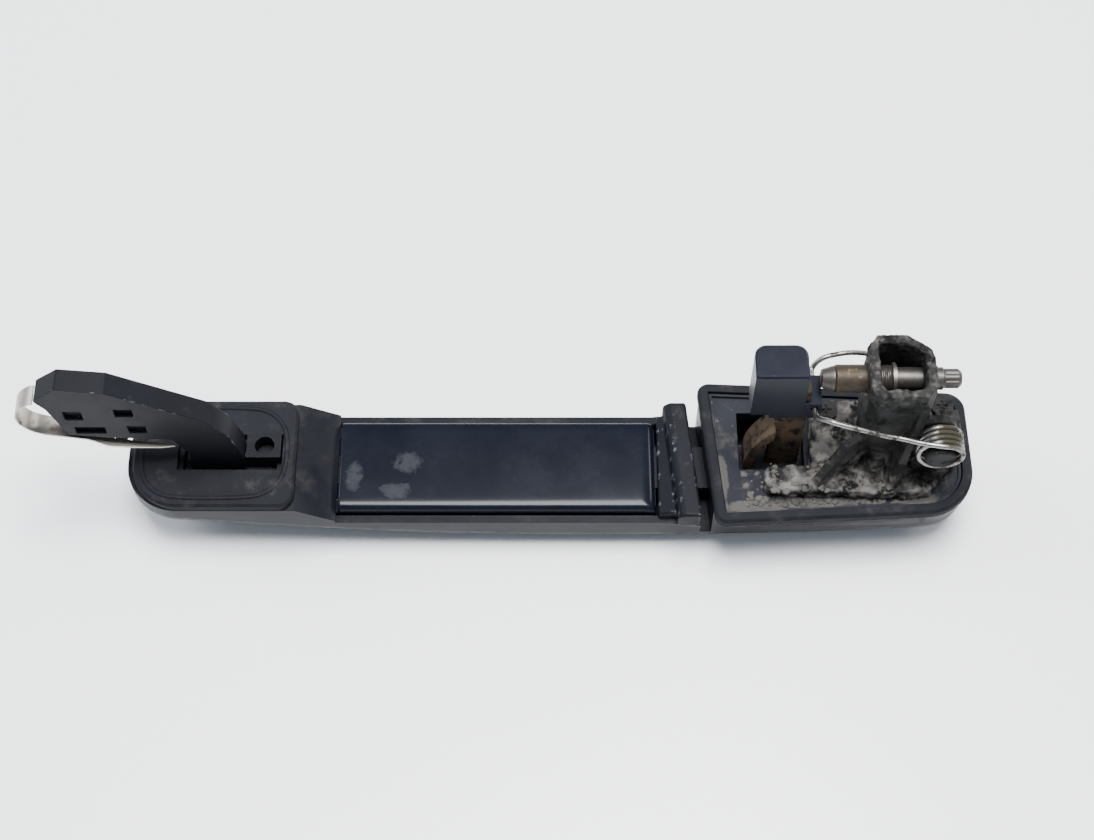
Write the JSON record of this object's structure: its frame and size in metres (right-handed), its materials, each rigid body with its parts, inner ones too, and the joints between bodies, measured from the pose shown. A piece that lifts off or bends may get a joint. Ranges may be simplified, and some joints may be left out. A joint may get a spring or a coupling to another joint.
{
  "type": "car door handle",
  "caption": "Outside car door handle: bowed grip with a sprung pull flap, front hook arm with leaf clip, and rear foot with casting, pusher head and fixing screw.",
  "frame": {"origin": "middle of the rear foot's gasket face, which seats on the door skin", "axes": "+X along the handle from the front foot to the lock end, +Y across the grip, +Z into the door"},
  "size_m": [0.238, 0.0406, 0.0575],
  "materials": {
    "shell": "painted, glossy, dusty",
    "flap": "glossy dark moulding with dull blotches",
    "head": "glossy dark blue-black moulding",
    "moulding": "fine-grained black moulding",
    "moulding_grey": "dusty dark grey moulding",
    "gasket": "matte rubber",
    "zinc": "dull zinc casting under grey-white dirt",
    "rusty_steel": "brown surface rust over steel",
    "dark_steel": "dark worn steel",
    "spring_steel": "bare spring wire and strip",
    "plated_steel": "zinc-plated steel",
    "bush": "natural bearing plastic"
  },
  "bodies": {
    "grip": {"outer_shell": "shell", "front_gasket": "gasket", "rear_gasket": "gasket", "front_plate": "moulding", "rear_plate": "moulding_grey", "hook_arm": "moulding", "hook_clip": "spring_steel", "front_screws": "plated_steel", "bracket_screws": "plated_steel", "rear_bracket": "zinc", "spring_pin": "zinc", "return_spring": "spring_steel", "pivot_pin": "plated_steel", "grip_bridge": "moulding", "pull_buffers": "gasket", "rest_pad": "gasket"},
    "trigger": {"trigger_flap": "flap", "trigger_lever": "rusty_steel", "lever_rivets": "plated_steel", "pusher_head": "head", "pivot_bushes": "bush"},
    "screw_end": {"screw_nose": "dark_steel"},
    "screw_spindle": {"fixing_screw": "rusty_steel", "screw_ring": "dark_steel"}
  },
  "joints": [
    {"name": "flap_pull", "type": "hinge", "parent": "grip", "child": "trigger", "pos_m": [-0.127, 0, -0.0113], "axis": [0, 1, 0], "range_deg": [0, 3.5], "stiffness_Nm_per_rad": 6, "springref_deg": -5.73, "deforming": ["return_spring"]},
    {"name": "screw_travel", "type": "slide", "parent": "grip", "child": "screw_end", "axis": [1, 0, 0], "range_m": [-0.0005, 0.0035]},
    {"name": "screw_turn", "type": "hinge", "parent": "screw_end", "child": "screw_spindle", "pos_m": [0, 0.005, 0.028], "axis": [1, 0, 0], "range_deg": [-180, 1260]}
  ],
  "couplings": [
    {"joint": "screw_turn", "follows": "screw_travel", "rad_per_m": 6283.2}
  ]
}
